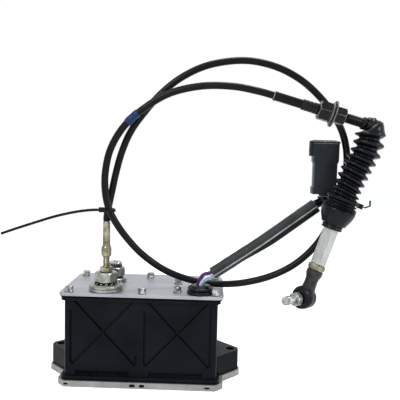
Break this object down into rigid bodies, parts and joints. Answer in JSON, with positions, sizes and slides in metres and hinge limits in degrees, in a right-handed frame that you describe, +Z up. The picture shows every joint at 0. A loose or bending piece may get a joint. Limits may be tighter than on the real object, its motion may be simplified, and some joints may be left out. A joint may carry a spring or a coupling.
{
  "type": "throttle motor",
  "caption": "Engine throttle motor: ribbed moulded gear housing, plated lid, eared base, looped control cable with bellows and ball-joint rod end, and a wiring lead with connector.",
  "frame": {"origin": "middle of the base plate's underside", "axes": "+X to the right along the long side, +Y to the back, +Z up; the cable's gland is at the left front"},
  "size_m": [0.3712, 0.1089, 0.3287],
  "materials": {
    "cast_alloy": "as cast",
    "plated_plate": "zinc plated",
    "black_moulding": "moulded, slightly glossy",
    "gasket": "matt",
    "zinc": "zinc plated",
    "yellow_zinc": "yellow zinc plated",
    "dark_steel": "dark, worn",
    "rubber": "moulded, matt",
    "sleeve": "slit sleeve, dull",
    "conduit": "extruded, dull",
    "purple_wire": "extruded",
    "white_wire": "extruded",
    "blue_wire": "extruded",
    "dark_wire": "extruded",
    "blue_tape": "tape",
    "black_steel": "blackened",
    "bright_steel": "bright",
    "nylon": "moulded",
    "gear_steel": "machined",
    "bronze": "sintered",
    "board": "coated"
  },
  "bodies": {
    "body": {"base_plate": "cast_alloy", "base_gasket": "gasket", "gear_housing": "black_moulding", "top_gasket": "gasket", "top_plate": "plated_plate", "top_screw_front_left": "zinc", "top_screw_back_left": "zinc", "top_screw_front_middle": "zinc", "top_screw_back_middle": "zinc", "top_screw_front_inner": "zinc", "top_screw_back_inner": "zinc", "top_screw_front_right": "zinc", "top_screw_back_right": "zinc", "gland_flange": "zinc", "gland_toothed_washer": "dark_steel", "gland_nut": "zinc", "gland_jam_nut": "yellow_zinc", "gland_stem": "yellow_zinc", "plug_body": "zinc", "plug_cap": "dark_steel", "grommet": "rubber", "purple_wire": "purple_wire", "white_wire": "white_wire", "blue_wire": "blue_wire", "dark_wire": "dark_wire", "wiring_sleeve": "sleeve", "wiring_tail": "rubber", "connector_housing": "black_moulding", "contact_carrier": "sleeve", "connector_seal": "rubber", "control_cable": "conduit", "blue_tape": "blue_tape", "label_sleeve": "conduit", "bulkhead_tube": "black_steel", "flange_nut": "black_steel", "bulkhead_washer": "zinc", "bulkhead_lock_nut": "black_steel", "bellows": "rubber", "core_wire": "bright_steel", "upper_cable_tie": "nylon", "lower_cable_tie": "nylon", "gear_frame": "cast_alloy", "shaft_bush": "bronze", "idler_pin": "gear_steel", "motor_end_bell": "dark_steel", "motor_can": "gear_steel", "position_sensor": "black_moulding", "circuit_board": "board", "drum_wire": "bright_steel"},
    "drum": {"cable_drum": "gear_steel", "output_gear": "gear_steel"},
    "idler": {"idler_gear": "gear_steel"},
    "motor": {"motor_pinion": "gear_steel"},
    "rod": {"hex_rod": "bright_steel", "bellows_cuff": "rubber", "rod_lock_nut": "yellow_zinc", "rod_end": "dark_steel"},
    "boot": {"ball_boot": "rubber"},
    "stud": {"ball_stud": "bright_steel"}
  },
  "joints": [
    {"name": "drum_turn", "type": "hinge", "parent": "body", "child": "drum", "pos_m": [-0.015, -0.0249, 0.044], "axis": [0, 1, 0], "range_deg": [-30, 35]},
    {"name": "idler_spin", "type": "hinge", "parent": "body", "child": "idler", "pos_m": [0.018, -0.0099, 0.044], "axis": [0, 1, 0], "range_deg": [-160, 140]},
    {"name": "motor_spin", "type": "hinge", "parent": "body", "child": "motor", "pos_m": [0.0388, -0.0099, 0.044], "axis": [0, 1, 0], "range_deg": [-455, 530]},
    {"name": "rod_slide", "type": "slide", "parent": "body", "child": "rod", "axis": [-0.3154, 0, -0.9489], "range_m": [-0.012, 0.014], "deforming": ["bellows", "core_wire"]},
    {"name": "stud_tilt", "type": "hinge", "parent": "rod", "child": "boot", "pos_m": [0.16073, -0.04, 0.09515], "axis": [0.6337, -0.7443, -0.2106], "range_deg": [-24, 0], "deforming": ["ball_boot"]},
    {"name": "stud_spin", "type": "hinge", "parent": "boot", "child": "stud", "pos_m": [0.16073, -0.04, 0.09515], "axis": [-0.7565, -0.6532, 0.0324], "continuous": true}
  ],
  "couplings": [
    {"joint": "motor_spin", "follows": "drum_turn", "ratio": 15},
    {"joint": "idler_spin", "follows": "drum_turn", "ratio": -4.5},
    {"joint": "rod_slide", "follows": "drum_turn", "m_per_rad": 0.0219}
  ]
}
